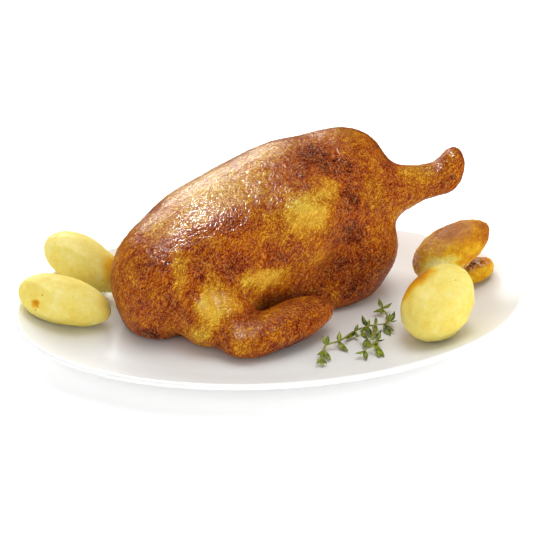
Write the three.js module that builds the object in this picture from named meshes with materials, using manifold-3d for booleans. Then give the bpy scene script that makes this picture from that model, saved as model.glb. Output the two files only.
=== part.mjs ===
// Roast half chicken on an oval platter, with peeled potatoes and a sprig of thyme.
//
// Millimetres, +Z up. The origin is under the middle of the platter, on the table.
// +X runs along the platter's long axis, towards the end of the drumstick.
// The chicken lies on its cut face, and the wing side looks towards -Y.
import * as THREE from 'three';
import { mergeVertices } from 'three/addons/utils/BufferGeometryUtils.js';
import Module from 'manifold-3d';

const wasm = await Module();
wasm.setup();

// Surface colours
const PORCELAIN = { color: 0xf1efec, roughness: 0.15, metalness: 0 };
const ROAST_SKIN = { color: 0xb0651f, roughness: 0.4, metalness: 0 };
const BOILED_POTATO = { color: 0xe6cf58, roughness: 0.4, metalness: 0 };
const BROWNED_POTATO = { color: 0xc98d25, roughness: 0.4, metalness: 0 };
const THYME_GREEN = { color: 0x4f6a24, roughness: 0.5, metalness: 0 };

// Between two pieces that touch, and between corners that count as one
const GAP = 0.3;
const SAME_CORNER = 1e-3;

// Platter: an oval coupe shape with a foot ring. Shares are of the long radius.
const PLATTER_LENGTH = 300;
const PLATTER_WIDTH = 200;
const PLATTER_HEIGHT = 20;
const FLOOR_HEIGHT = 9;
const FLOOR_SHARE = 0.76;
const WALL_CURVE = 1.8;
const RIM_THICKNESS = 4.4;
const LIP_WIDTH = 3.2;
const LIP_ROUND = 0.8;
const FOOT_SHARE = 0.64;
const FOOT_WIDTH = 4.5;
const FOOT_HEIGHT = 3.5;
const FOOT_TAPER = 1.2;
const PLATTER_STEPS = 60;
const WALL_STEPS = 7;

// Chicken: the soft masses of one half bird, blended into one skin. Each mass is an
// ellipsoid: centre, half sizes, turn about Z, rise of its +X end, and the width over
// which it flows into the masses before it.
const BIRD_TURN = 18;
const BIRD_RISE = 13;
const BIRD_MASSES = {
  breast: { at: [-22.6, 18, 48], half: [67, 44, 43], turn: BIRD_TURN, rise: BIRD_RISE },
  back: { at: [21, 37, 60], half: [50, 38, 42], turn: BIRD_TURN, rise: BIRD_RISE, blend: 22 },
  knee: { at: [52, 43.5, 79], half: [25, 25, 25.5], turn: 0, rise: 0, blend: 14 },
  neckEnd: { at: [-67, -2, 35], half: [26, 30, 31], turn: BIRD_TURN, rise: 0, blend: 14 },
  cutEdge: { at: [-1, 31.5, 22], half: [76, 44, 28], turn: BIRD_TURN, rise: 0, blend: 14 },
  neckFoot: { at: [-64, -4, 17], half: [22, 21, 13], turn: BIRD_TURN, rise: 0, blend: 10 },
  tail: { at: [51.3, 25.5, 37], half: [30, 29, 28], turn: BIRD_TURN, rise: 0, blend: 12 },
  tailFoot: { at: [38, 12, 18], half: [28, 17, 14], turn: BIRD_TURN, rise: 0, blend: 12 },
  thigh: { at: [21.5, 11, 62], half: [36, 24, 25], turn: BIRD_TURN, rise: 10, blend: 10 },
  shoulder: { at: [-37, -26, 25], half: [22, 20, 19], turn: BIRD_TURN, rise: 0, blend: 9 },
};

// Drumstick: a tapering end from the knee, with the knob of the ankle joint
const DRUMSTICK = { from: [51, 27.5, 66], to: [97, 31.5, 73], fromRadius: 23, toRadius: 10.5, blend: 12 };
const ANKLE = { at: [113.6, 32.3, 79.5], half: [8.5, 10, 14.5], turn: 0, rise: -12, blend: 12 };

// Wing: folded flat against the flank, its elbow towards the neck end
const WING_FOLD = { at: [1.2, -36.6, 21], half: [34.7, 14.6, 12.1], turn: 27, rise: 5, blend: 6 };
const WING_ELBOW = { at: [-22, -44.5, 17], half: [15, 11, 8.5], turn: 15, rise: 0, blend: 8 };

// Folds in the skin: centre, reach, and depth into the meat, or out of it where negative
const FOLDS = {
  flankHollow: { at: [48, -1, 57], reach: 15, depth: 3.2 },
  overTheWing: { at: [39, -4, 38], reach: 11, depth: 2.6 },
  behindTheShoulder: { at: [-15, -24, 44], reach: 10, depth: -1.6 },
  underTheNeckEnd: { at: [-58, -25, 11], reach: 5, depth: 3.5 },
};
const NECK_CREASE = { at: [-50, 0.5, 30], width: 4.5, depth: 2.6, top: 70, back: 7, fade: 30 };
const CUT_EDGE_ROUND = 3;

// The box that the skin is looked for in, and the size of its faces
const BIRD_BOX = { low: [-102, -64, 4], high: [130, 88, 112] };
const SKIN_STEP = 5.15;

// Potatoes: place on the platter, half sizes, turn, rise of the +X end, and how much
// they widen towards the +X end. Each is let down until it touches what lies there.
const POTATOES = {
  potato_left_front: { at: [-120.5, 8], half: [28, 15.5, 14.5], turn: -19, rise: -13, widen: -0.1 },
  potato_left_back: { at: [-105, 46.5], half: [29, 15.5, 14.5], turn: -37, rise: -18, widen: -0.12 },
  potato_right_under: { at: [126.5, 16.5], half: [14, 11, 6.5], turn: 20, rise: 16, widen: 0 },
  potato_right_back: { at: [113, 19], half: [27, 16, 14.5], turn: -12, rise: 36, widen: -0.14 },
  potato_right_front: { at: [91, -38.5], half: [27.5, 20, 18.5], turn: 50, rise: 18, widen: -0.1 },
};
const BROWNED = ['potato_right_under', 'potato_right_back'];
const POTATO_SEGMENTS = 20;
const POTATO_RINGS = 12;
const POTATO_LUMPS = 0.02;

// How far a soft potato flattens on the platter and on another potato, and the room
// that it then keeps to the other one
const POTATO_SINK = 0.5;
const POTATO_PRESS = 3;
const POTATO_CLEAR = 1;
const POTATO_SWELL = 1.03;
const HIGHEST_START = 100;
const HALVINGS = 40;
const LIFT_STEP = 0.05;

// Thyme: each branch as a row of nodes, in plan on the platter, with the leaves that stand
// at each node as their headings in degrees from +X and their lengths. The sprig is rolled,
// so that its far leaves rise and its near ones hang down to the platter.
const BRANCHES = {
  main: [
    { at: [17.5, -63], leaves: [[-130, 5.5], [-90, 6], [-60, 5.5]] },
    { at: [20.5, -55], leaves: [[-145, 5.5], [-115, 6.5], [-70, 8.5]] },
    { at: [23.3, -49.5], leaves: [[105, 6], [70, 6]] },
    { at: [31, -46.5], leaves: [[75, 6.5], [-60, 8.5]] },
    { at: [42.3, -36.3], leaves: [[50, 5], [-145, 8.5], [-75, 5]] },
    { at: [50.8, -32], leaves: [[110, 7.5], [-145, 6.5], [55, 4.5], [-85, 8]] },
    { at: [56, -31], leaves: [[80, 4.5], [-110, 7]] },
    { at: [61, -30.5], leaves: [[-50, 8], [-75, 9]] },
    { at: [65, -28], leaves: [[50, 7], [80, 5], [-20, 4]] },
  ],
  upper: [
    { at: [62.5, -30], leaves: [] },
    { at: [65, -20.5], leaves: [[-95, 5], [-65, 4.5]] },
    { at: [64, -11.5], leaves: [[100, 6.5], [20, 7], [-155, 6.5], [-105, 5]] },
  ],
  lower: [
    { at: [54, -31.5], leaves: [] },
    { at: [52.8, -44.5], leaves: [[35, 5.5], [-150, 5]] },
    { at: [52.5, -49], leaves: [[50, 5.5], [-20, 4.5], [-110, 6]] },
    { at: [51.5, -56], leaves: [[-95, 7.5], [-70, 8], [-130, 4]] },
  ],
  left: [
    { at: [52.8, -41], leaves: [] },
    { at: [47.5, -46], leaves: [[125, 6.5], [-120, 7], [-80, 6], [170, 4.5]] },
  ],
  side: [
    { at: [52.5, -50.5], leaves: [] },
    { at: [47.5, -55], leaves: [[-30, 4.5], [150, 4.5]] },
    { at: [43.5, -59.5], leaves: [[-160, 6.5], [-95, 6.5]] },
  ],
};
const STEM_RADIUS = 0.65;
const STEM_HEIGHT = 4.1;
const STEM_SIDES = 6;
const STEM_STEP = 7;
const LEAF_WIDTH_SHARE = 0.44;
const LEAF_THICKNESS = 0.6;
const LEAF_STATIONS = [0, 0.42, 0.78];
const LEAF_STALK_SHARE = 0.16;
const LEAF_FULLNESS = 0.85;
const LEAF_CURL = 0.14;
const SPRIG_ROLL = 30;
const YOUNG_LENGTH = 5;
const YOUNG_RISE = 18;
const LEAF_SWAY = 10;
const THYME_SEED = 11;

const degrees = THREE.MathUtils.degToRad;

// Seeded draws between 0 and 1, by a linear congruence
const DRAW = { factor: 1664525, step: 1013904223, range: 2 ** 32 };

function drawer(seed) {
  let state = seed;
  return () => {
    state = (state * DRAW.factor + DRAW.step) % DRAW.range;
    return state / DRAW.range;
  };
}

// One closed mesh from any geometry: shared corners merged, empty faces dropped
function closed(geometry) {
  const bare = geometry.clone();
  bare.deleteAttribute('normal');
  bare.deleteAttribute('uv');
  const merged = mergeVertices(bare, SAME_CORNER);
  const corners = merged.index.array;
  const kept = [];
  for (let i = 0; i < corners.length; i += 3) {
    const [a, b, c] = [corners[i], corners[i + 1], corners[i + 2]];
    if (a !== b && b !== c && c !== a) kept.push(a, b, c);
  }
  merged.setIndex(kept);
  merged.computeVertexNormals();
  return merged;
}

function piece(name, geometry, finish) {
  const mesh = new THREE.Mesh(geometry, new THREE.MeshStandardMaterial(finish));
  mesh.name = name;
  return mesh;
}

// Platter. A round profile is drawn along the long axis, and the short axis follows it
// so that the rim keeps its thickness while the middle is squeezed to the oval.
const LONG_RADIUS = PLATTER_LENGTH / 2;
const SHORTFALL = (PLATTER_LENGTH - PLATTER_WIDTH) / 2;

function shortRadius(longRadius) {
  const share = longRadius / LONG_RADIUS;
  return longRadius - SHORTFALL * (2 * share - share * share);
}

function wallHeight(longRadius) {
  const start = FLOOR_SHARE * LONG_RADIUS;
  const end = LONG_RADIUS - LIP_WIDTH / 2;
  const climb = THREE.MathUtils.clamp((longRadius - start) / (end - start), 0, 1);
  return FLOOR_HEIGHT + (PLATTER_HEIGHT - FLOOR_HEIGHT) * climb ** WALL_CURVE;
}

// Height of the platter's upper face under a point, by halving towards its oval ring
function platterTop(x, y) {
  let inner = 0;
  let outer = LONG_RADIUS;
  for (let i = 0; i < HALVINGS; i++) {
    const ring = (inner + outer) / 2;
    const outside = (x / ring) ** 2 + (y / shortRadius(ring)) ** 2 > 1;
    if (outside) inner = ring;
    else outer = ring;
  }
  return wallHeight(outer);
}

function platterProfile() {
  const wallStart = FLOOR_SHARE * LONG_RADIUS;
  const lipInner = LONG_RADIUS - LIP_WIDTH;
  const foot = FOOT_SHARE * LONG_RADIUS;
  const profile = [new THREE.Vector2(0, FLOOR_HEIGHT), new THREE.Vector2(wallStart / 2, FLOOR_HEIGHT)];
  for (let i = 0; i <= WALL_STEPS; i++) {
    const radius = wallStart + (lipInner - wallStart) * i / WALL_STEPS;
    profile.push(new THREE.Vector2(radius, wallHeight(radius)));
  }
  // The rim's edge is rounded above and below its middle
  const rimUnderside = PLATTER_HEIGHT - RIM_THICKNESS;
  profile.push(new THREE.Vector2(LONG_RADIUS - LIP_WIDTH / 2, PLATTER_HEIGHT));
  profile.push(new THREE.Vector2(LONG_RADIUS - LIP_ROUND / 2, PLATTER_HEIGHT - LIP_ROUND));
  profile.push(new THREE.Vector2(LONG_RADIUS, PLATTER_HEIGHT - RIM_THICKNESS / 2));
  profile.push(new THREE.Vector2(LONG_RADIUS - LIP_ROUND, rimUnderside + LIP_ROUND / 2));
  for (let i = WALL_STEPS - 1; i >= 1; i--) {
    const share = i / WALL_STEPS;
    const radius = foot + (lipInner - foot) * share;
    const drop = RIM_THICKNESS + (FLOOR_HEIGHT - FOOT_HEIGHT - RIM_THICKNESS) * (1 - share);
    profile.push(new THREE.Vector2(radius, wallHeight(radius) - drop));
  }
  profile.push(new THREE.Vector2(foot, 0));
  profile.push(new THREE.Vector2(foot - FOOT_WIDTH, 0));
  profile.push(new THREE.Vector2(foot - FOOT_WIDTH - FOOT_TAPER, FOOT_HEIGHT));
  profile.push(new THREE.Vector2(0, FOOT_HEIGHT));
  return profile.reverse();
}

function platterGeometry() {
  const round = new THREE.LatheGeometry(platterProfile(), PLATTER_STEPS).rotateX(Math.PI / 2);
  const place = round.attributes.position;
  for (let i = 0; i < place.count; i++) {
    const radius = Math.hypot(place.getX(i), place.getY(i));
    if (radius > 0) place.setY(i, place.getY(i) * shortRadius(radius) / radius);
  }
  return closed(round);
}

// Turned about Z, with the +X end risen
function turned(turn, rise) {
  return new THREE.Matrix4().makeRotationFromEuler(new THREE.Euler(0, -degrees(rise), degrees(turn), 'ZYX'));
}

// Distance functions: negative inside, positive outside, in millimetres
function ellipsoid({ at, half, turn, rise }) {
  const centre = new THREE.Vector3(...at);
  const back = turned(turn, rise).transpose();
  const local = new THREE.Vector3();
  return (point) => {
    local.copy(point).sub(centre).applyMatrix4(back);
    const [x, y, z] = [local.x / half[0], local.y / half[1], local.z / half[2]];
    const radius = Math.hypot(x, y, z);
    const slope = Math.hypot(x / half[0], y / half[1], z / half[2]);
    return slope === 0 ? -Math.min(...half) : radius * (radius - 1) / slope;
  };
}

function taperedRod({ from, to, fromRadius, toRadius }) {
  const start = new THREE.Vector3(...from);
  const along = new THREE.Vector3(...to).sub(start);
  const offset = new THREE.Vector3();
  return (point) => {
    offset.copy(point).sub(start);
    const share = THREE.MathUtils.clamp(offset.dot(along) / along.lengthSq(), 0, 1);
    return offset.addScaledVector(along, -share).length() - THREE.MathUtils.lerp(fromRadius, toRadius, share);
  };
}

// Joins two distances with a fillet of the given width
function blended(a, b, width) {
  const share = THREE.MathUtils.clamp(0.5 + 0.5 * (b - a) / width, 0, 1);
  return THREE.MathUtils.lerp(b, a, share) - width * share * (1 - share);
}

function cutBy(a, b, width) {
  return -blended(-a, -b, width);
}

// Half chicken
function chickenDistance() {
  const masses = Object.values(BIRD_MASSES).map((mass) => ({ distance: ellipsoid(mass), blend: mass.blend }));
  const [first, ...others] = masses;
  const leg = taperedRod(DRUMSTICK);
  const ankle = ellipsoid(ANKLE);
  const fold = ellipsoid(WING_FOLD);
  const elbow = ellipsoid(WING_ELBOW);
  const creaseAcross = new THREE.Vector3(1, 0, 0).applyMatrix4(turned(BIRD_TURN, 0));
  const creaseAt = new THREE.Vector3(...NECK_CREASE.at);
  const folds = Object.values(FOLDS).map((dent) => ({ ...dent, centre: new THREE.Vector3(...dent.at) }));
  return (point) => {
    let skin = first.distance(point);
    for (const { distance, blend } of others) skin = blended(skin, distance(point), blend);
    skin = blended(skin, blended(leg(point), ankle(point), ANKLE.blend), DRUMSTICK.blend);
    for (const { centre, reach, depth } of folds) {
      skin += depth * Math.exp(-point.distanceToSquared(centre) / reach ** 2);
    }
    const across = creaseAcross.dot(point) - creaseAcross.dot(creaseAt);
    const low = THREE.MathUtils.clamp((NECK_CREASE.top - point.z) / NECK_CREASE.fade, 0, 1);
    const front = THREE.MathUtils.clamp((NECK_CREASE.back - point.y) / NECK_CREASE.fade, 0, 1);
    skin += NECK_CREASE.depth * Math.exp(-((across / NECK_CREASE.width) ** 2)) * low * front;
    const wing = blended(fold(point), elbow(point), WING_ELBOW.blend);
    skin = blended(skin, wing, WING_FOLD.blend);
    return cutBy(skin, platterTop(point.x, point.y) + GAP - point.z, CUT_EDGE_ROUND);
  };
}

// Wraps the zero surface of a distance function in a closed skin of quads.
// Each grid cell that the surface crosses gives one corner, at the mean of the crossings.
function wrapped(distance, box, step) {
  const room = box.getSize(new THREE.Vector3());
  const count = room.toArray().map((length) => Math.ceil(length / step) + 1);
  const stride = [1, count[0], count[0] * count[1]];
  const value = new Float64Array(count[0] * count[1] * count[2]);
  const point = new THREE.Vector3();
  const eachCell = (margin, visit) => {
    for (let z = 0; z < count[2] - margin; z++) {
      for (let y = 0; y < count[1] - margin; y++) {
        for (let x = 0; x < count[0] - margin; x++) visit([x, y, z], x + y * stride[1] + z * stride[2]);
      }
    }
  };
  eachCell(0, (cell, index) => {
    point.set(...cell).multiplyScalar(step).add(box.min);
    value[index] = distance(point);
  });
  const edges = [];
  for (let axis = 0; axis < 3; axis++) {
    for (let side = 0; side < 4; side++) {
      const start = [0, 0, 0];
      start[(axis + 1) % 3] = side & 1;
      start[(axis + 2) % 3] = side >> 1;
      edges.push({ axis, start, offset: start[0] + start[1] * stride[1] + start[2] * stride[2] });
    }
  }
  const corner = new Int32Array(value.length).fill(-1);
  const places = [];
  eachCell(1, (cell, index) => {
    const mean = new THREE.Vector3();
    let crossings = 0;
    for (const { axis, start, offset } of edges) {
      const a = value[index + offset];
      const b = value[index + offset + stride[axis]];
      if (a < 0 === b < 0) continue;
      point.set(...start);
      point.setComponent(axis, a / (a - b));
      mean.add(point);
      crossings += 1;
    }
    if (crossings === 0) return;
    corner[index] = places.length / 3;
    point.set(...cell).addScaledVector(mean, 1 / crossings).multiplyScalar(step).add(box.min);
    places.push(point.x, point.y, point.z);
  });
  const faces = [];
  eachCell(1, (cell, index) => {
    for (let axis = 0; axis < 3; axis++) {
      const [u, v] = [(axis + 1) % 3, (axis + 2) % 3];
      if (cell[u] === 0 || cell[v] === 0) continue;
      const inside = value[index] < 0;
      if (inside === value[index + stride[axis]] < 0) continue;
      const around = [index - stride[u] - stride[v], index - stride[v], index, index - stride[u]];
      const [a, b, c, d] = around.map((neighbour) => corner[neighbour]);
      if (inside) faces.push(a, b, c, a, c, d);
      else faces.push(a, c, b, a, d, c);
    }
  });
  const skin = new THREE.BufferGeometry();
  skin.setAttribute('position', new THREE.Float32BufferAttribute(places, 3));
  skin.setIndex(faces);
  return skin;
}

function chickenGeometry() {
  const box = new THREE.Box3(new THREE.Vector3(...BIRD_BOX.low), new THREE.Vector3(...BIRD_BOX.high));
  return closed(wrapped(chickenDistance(), box, SKIN_STEP));
}

// A potato before it is let down: an uneven ball, stretched and widened along X
function potatoBall({ at, half, turn, rise, widen }) {
  const ball = new THREE.SphereGeometry(1, POTATO_SEGMENTS, POTATO_RINGS).rotateZ(Math.PI / 2);
  const place = ball.attributes.position;
  for (let i = 0; i < place.count; i++) {
    const [x, y, z] = [place.getX(i), place.getY(i), place.getZ(i)];
    const lumps = Math.sin(3 * x + 2 * y + at[0]) + Math.sin(4 * z - 2 * x + at[1]);
    const girth = (1 + widen * x) * (1 + POTATO_LUMPS * lumps);
    place.setXYZ(i, x * half[0], y * half[1] * girth, z * half[2] * girth);
  }
  return ball.applyMatrix4(turned(turn, rise)).translate(at[0], at[1], 0);
}

// Lets a potato down until it touches the platter or a potato that lies there already,
// and flattens it a little where it lies. Gives the height of its middle.
function letDown(ball, laid) {
  const place = ball.attributes.position;
  const point = new THREE.Vector3();
  const clearAt = (height) => {
    for (let i = 0; i < place.count; i++) {
      point.fromBufferAttribute(place, i);
      point.z += height;
      if (point.z < platterTop(point.x, point.y) + GAP - POTATO_SINK) return false;
      if (laid.some((other) => other(point) < POTATO_CLEAR - POTATO_PRESS)) return false;
    }
    return true;
  };
  let touching = 0;
  let height = HIGHEST_START;
  for (let i = 0; i < HALVINGS; i++) {
    const middle = (touching + height) / 2;
    if (clearAt(middle)) height = middle;
    else touching = middle;
  }
  ball.translate(0, 0, height);
  for (let i = 0; i < place.count; i++) {
    point.fromBufferAttribute(place, i);
    point.z = Math.max(point.z, platterTop(point.x, point.y) + GAP);
    while (laid.some((other) => other(point) < POTATO_CLEAR)) point.z += LIFT_STEP;
    place.setZ(i, point.z);
  }
  return height;
}

function potatoMeshes() {
  const laid = [];
  return Object.entries(POTATOES).map(([name, potato]) => {
    const ball = potatoBall(potato);
    const height = letDown(ball, laid);
    const half = potato.half.map((size) => size * POTATO_SWELL);
    laid.push(ellipsoid({ ...potato, at: [...potato.at, height], half }));
    return piece(name, closed(ball), BROWNED.includes(name) ? BROWNED_POTATO : BOILED_POTATO);
  });
}

// Thyme sprig, joined from the solids of its stems and leaves
function solid(geometry) {
  const mesh = closed(geometry);
  return new wasm.Manifold(new wasm.Mesh({
    numProp: 3,
    vertProperties: mesh.attributes.position.array,
    triVerts: new Uint32Array(mesh.index.array),
  }));
}

function nodePlace([x, y]) {
  return new THREE.Vector3(x, y, FLOOR_HEIGHT + STEM_HEIGHT);
}

function stemSolid(nodes) {
  const curve = new THREE.CatmullRomCurve3(nodes.map((node) => nodePlace(node.at)));
  const section = new THREE.Shape();
  for (let i = 0; i < STEM_SIDES; i++) {
    const angle = 2 * Math.PI * i / STEM_SIDES;
    const [x, y] = [STEM_RADIUS * Math.cos(angle), STEM_RADIUS * Math.sin(angle)];
    if (i === 0) section.moveTo(x, y);
    else section.lineTo(x, y);
  }
  const steps = Math.max(2, Math.round(curve.getLength() / STEM_STEP));
  return solid(new THREE.ExtrudeGeometry(section, { steps, extrudePath: curve, bevelEnabled: false }));
}

// A leaf is a thin pointed oval that curls up along its length, with both faces alike.
// Its stalk end is at the origin and it points along +X.
function leafGeometry(length) {
  const thick = LEAF_THICKNESS / 2;
  const places = [];
  for (const share of LEAF_STATIONS) {
    const blade = LEAF_STALK_SHARE + (1 - LEAF_STALK_SHARE) * Math.sin(Math.PI * share ** LEAF_FULLNESS);
    const width = LEAF_WIDTH_SHARE * length * blade / 2;
    const lift = length * LEAF_CURL * share * share;
    places.push([share * length, width, lift], [share * length, 0, lift + thick]);
    places.push([share * length, -width, lift], [share * length, 0, lift - thick]);
  }
  places.push([length, 0, length * LEAF_CURL]);
  const tip = places.length - 1;
  const faces = [[0, 2, 1], [0, 3, 2]];
  for (let corner = 0; corner < tip; corner++) {
    const next = corner % 4 === 3 ? corner - 3 : corner + 1;
    if (corner + 4 < tip) faces.push([corner, next, next + 4], [corner, next + 4, corner + 4]);
    else faces.push([corner, next, tip]);
  }
  const leaf = new THREE.BufferGeometry();
  leaf.setAttribute('position', new THREE.Float32BufferAttribute(places.flat(), 3));
  leaf.setIndex(faces.flat());
  return leaf;
}

// Young leaves stand up further than grown ones
function leafSolid(at, heading, length, draw) {
  const roll = SPRIG_ROLL * Math.sin(degrees(heading));
  const rise = roll + (length < YOUNG_LENGTH ? YOUNG_RISE : 0) + LEAF_SWAY * (draw() - 0.5);
  const posed = leafGeometry(length).applyMatrix4(turned(heading, rise));
  return solid(posed.applyMatrix4(new THREE.Matrix4().setPosition(nodePlace(at))));
}

function thymeGeometry() {
  const draw = drawer(THYME_SEED);
  const solids = Object.values(BRANCHES).flatMap((nodes) => {
    const leaves = nodes.flatMap((node) => node.leaves.map((leaf) => leafSolid(node.at, ...leaf, draw)));
    return [stemSolid(nodes), ...leaves];
  });
  const joined = solids.reduce((sprig, next) => sprig.add(next)).getMesh();
  const sprig = new THREE.BufferGeometry();
  sprig.setAttribute('position', new THREE.Float32BufferAttribute(joined.vertProperties, 3));
  sprig.setIndex([...joined.triVerts]);
  return closed(sprig);
}

const group = new THREE.Group();
group.add(piece('plate', platterGeometry(), PORCELAIN));
group.add(piece('half_chicken', chickenGeometry(), ROAST_SKIN));
group.add(...potatoMeshes());
group.add(piece('thyme_sprig', thymeGeometry(), THYME_GREEN));

export default group;
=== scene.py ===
# Roast half chicken with peeled potatoes and thyme on an oval platter, dressed for the eye.
# Metres and +Z up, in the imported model's frame: the origin is on the table under the middle
# of the platter, and +X runs towards the end of the drumstick. Sizes in capitals are in mm.
import math
from collections import namedtuple

import bmesh
import bpy
import numpy as np
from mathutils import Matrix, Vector


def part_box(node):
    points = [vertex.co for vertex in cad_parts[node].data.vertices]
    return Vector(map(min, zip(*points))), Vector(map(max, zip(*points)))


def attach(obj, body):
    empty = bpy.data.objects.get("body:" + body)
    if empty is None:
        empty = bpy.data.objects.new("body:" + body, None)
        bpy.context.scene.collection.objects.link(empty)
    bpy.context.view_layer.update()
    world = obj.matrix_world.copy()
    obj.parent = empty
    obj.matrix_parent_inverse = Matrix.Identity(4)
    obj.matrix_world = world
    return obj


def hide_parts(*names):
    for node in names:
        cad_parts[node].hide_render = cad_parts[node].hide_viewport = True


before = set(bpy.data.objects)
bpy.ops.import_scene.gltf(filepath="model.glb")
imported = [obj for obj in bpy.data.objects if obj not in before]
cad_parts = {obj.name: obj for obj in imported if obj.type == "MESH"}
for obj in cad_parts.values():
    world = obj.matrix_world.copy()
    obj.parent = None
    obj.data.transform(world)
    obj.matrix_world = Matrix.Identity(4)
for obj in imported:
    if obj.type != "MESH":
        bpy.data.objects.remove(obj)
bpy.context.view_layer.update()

# Platter
# An oval coupe platter of hard-paste porcelain, pressed in one piece, glazed white all over
# and fired. Its wall rises in one curve to a rounded lip, and it stands on a low foot ring.
MM = 0.001
PLATTER_LENGTH = 300
PLATTER_WIDTH = 200
PLATTER_HEIGHT = 20
FLOOR_HEIGHT = 9
FLOOR_SHARE = 0.76
WALL_CURVE = 1.8
RIM_THICKNESS = 4.4
LIP_WIDTH = 3.2
LIP_ROUND = 0.8
FOOT_SHARE = 0.64
FOOT_WIDTH = 4.5
FOOT_HEIGHT = 3.5
FOOT_TAPER = 1.2
WALL_STEPS = 7
LONG_RADIUS = PLATTER_LENGTH / 2
SQUEEZE = 1 - PLATTER_WIDTH / PLATTER_LENGTH


def linear(hexadecimal):
    """An sRGB colour such as "f4f2ee" as the linear RGBA that shaders work in."""
    shares = [int(hexadecimal[i:i + 2], 16) / 255 for i in (0, 2, 4)]
    return [s / 12.92 if s <= 0.04045 else ((s + 0.055) / 1.055) ** 2.4 for s in shares] + [1.0]


def fill(node, sockets):
    """Gives each socket of a node a value, another node's output, or a node's first one."""
    for socket, source in sockets.items():
        if isinstance(source, bpy.types.Node):
            source = source.outputs[0]
        if isinstance(source, bpy.types.NodeSocket):
            node.id_data.links.new(source, node.inputs[socket])
        else:
            node.inputs[socket].default_value = source


def add(tree, kind, sockets=None, stops=(), **settings):
    """Adds a node with its settings, its sockets and the stops of its colour ramp. Sockets that
    share a name, as those of math and mix nodes do, go by number."""
    node = tree.nodes.new(kind)
    for name, value in settings.items():
        setattr(node, name, value)
    fill(node, sockets or {})
    if stops:
        line = node.color_ramp.elements
        for _ in stops[2:]:
            line.new(0.5)
        for element, (share, colour) in zip(line, stops):
            element.position = share
            element.color = linear(colour)
    return node


def placed(name, data):
    """A new object in the scene that shows the given mesh, curve, light or camera."""
    thing = bpy.data.objects.new(name, data)
    bpy.context.scene.collection.objects.link(thing)
    return thing


def new_tree(name, inputs):
    """An empty tree of geometry nodes with named inputs, those inputs, and its output node."""
    tree = bpy.data.node_groups.new(name, "GeometryNodeTree")
    tree.interface.new_socket(name="Geometry", in_out="INPUT", socket_type="NodeSocketGeometry")
    tree.interface.new_socket(name="Geometry", in_out="OUTPUT", socket_type="NodeSocketGeometry")
    for label, kind in inputs.items():
        tree.interface.new_socket(name=label, in_out="INPUT", socket_type="NodeSocket" + kind)
    return tree, add(tree, "NodeGroupInput").outputs, add(tree, "NodeGroupOutput")


def grown(name, source, tree, values):
    """The mesh that a tree grows on an object, as a plain new object; the source goes."""
    modifier = source.modifiers.new(tree.name, "NODES")
    modifier.node_group = tree
    for item in tree.interface.items_tree:
        if item.in_out == "INPUT" and item.name in values:
            modifier[item.identifier] = values[item.name]
    source.update_tag()
    view = bpy.context.evaluated_depsgraph_get()
    mesh = bpy.data.meshes.new_from_object(source.evaluated_get(view))
    source.modifiers.remove(modifier)
    bpy.data.objects.remove(source)
    mesh.name = name
    return placed(name, mesh)


def new_material(name):
    """A new material: its tree, its surface shader, and object coordinates in millimetres."""
    material = bpy.data.materials.new(name)
    material.use_nodes = True
    tree = material.node_tree
    place = add(tree, "ShaderNodeTexCoord").outputs["Object"]
    in_mm = add(tree, "ShaderNodeMapping", {"Vector": place, "Scale": (1 / MM, 1 / MM, 1 / MM)})
    return material, tree, tree.nodes["Principled BSDF"], in_mm


def short_radius(radius):
    """Half the width of the oval ring whose half length is the given radius."""
    return radius * (1 - SQUEEZE * (2 - radius / LONG_RADIUS))


def wall_height(radius):
    """Height of the upper face: flat on the floor, then up along the wall to the lip."""
    start = FLOOR_SHARE * LONG_RADIUS
    end = LONG_RADIUS - LIP_WIDTH / 2
    climb = np.clip((radius - start) / (end - start), 0, 1)
    return FLOOR_HEIGHT + (PLATTER_HEIGHT - FLOOR_HEIGHT) * climb ** WALL_CURVE


def platter_section():
    """(radius, height) pairs from the middle of the upper face round to the underside's."""
    wall_start = FLOOR_SHARE * LONG_RADIUS
    lip_inner = LONG_RADIUS - LIP_WIDTH
    foot = FOOT_SHARE * LONG_RADIUS
    under_rim = PLATTER_HEIGHT - RIM_THICKNESS
    section = [(0, FLOOR_HEIGHT), (wall_start / 2, FLOOR_HEIGHT)]
    section += [(r, wall_height(r)) for r in np.linspace(wall_start, lip_inner, WALL_STEPS + 1)]
    section += [
        (LONG_RADIUS - LIP_WIDTH / 2, PLATTER_HEIGHT),
        (LONG_RADIUS - LIP_ROUND / 2, PLATTER_HEIGHT - LIP_ROUND),
        (LONG_RADIUS, PLATTER_HEIGHT - RIM_THICKNESS / 2),
        (LONG_RADIUS - LIP_ROUND, under_rim + LIP_ROUND / 2),
    ]
    for share in np.arange(WALL_STEPS - 1, 0, -1) / WALL_STEPS:
        radius = foot + (lip_inner - foot) * share
        drop = RIM_THICKNESS + (FLOOR_HEIGHT - FOOT_HEIGHT - RIM_THICKNESS) * (1 - share)
        section.append((radius, wall_height(radius) - drop))
    inside_foot = foot - FOOT_WIDTH - FOOT_TAPER
    section += [(foot, 0), (foot - FOOT_WIDTH, 0), (inside_foot, FOOT_HEIGHT), (0, FOOT_HEIGHT)]
    return np.array(section, float)


def rounded(line, times):
    """Cuts each corner of a line at a quarter of its sides, again and again."""
    for _ in range(times):
        early = 0.75 * line[:-1] + 0.25 * line[1:]
        late = 0.25 * line[:-1] + 0.75 * line[1:]
        cut = np.stack([early, late], 1).reshape(-1, 2)
        line = np.concatenate([line[:1], cut, line[-1:]])
    return line


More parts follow.
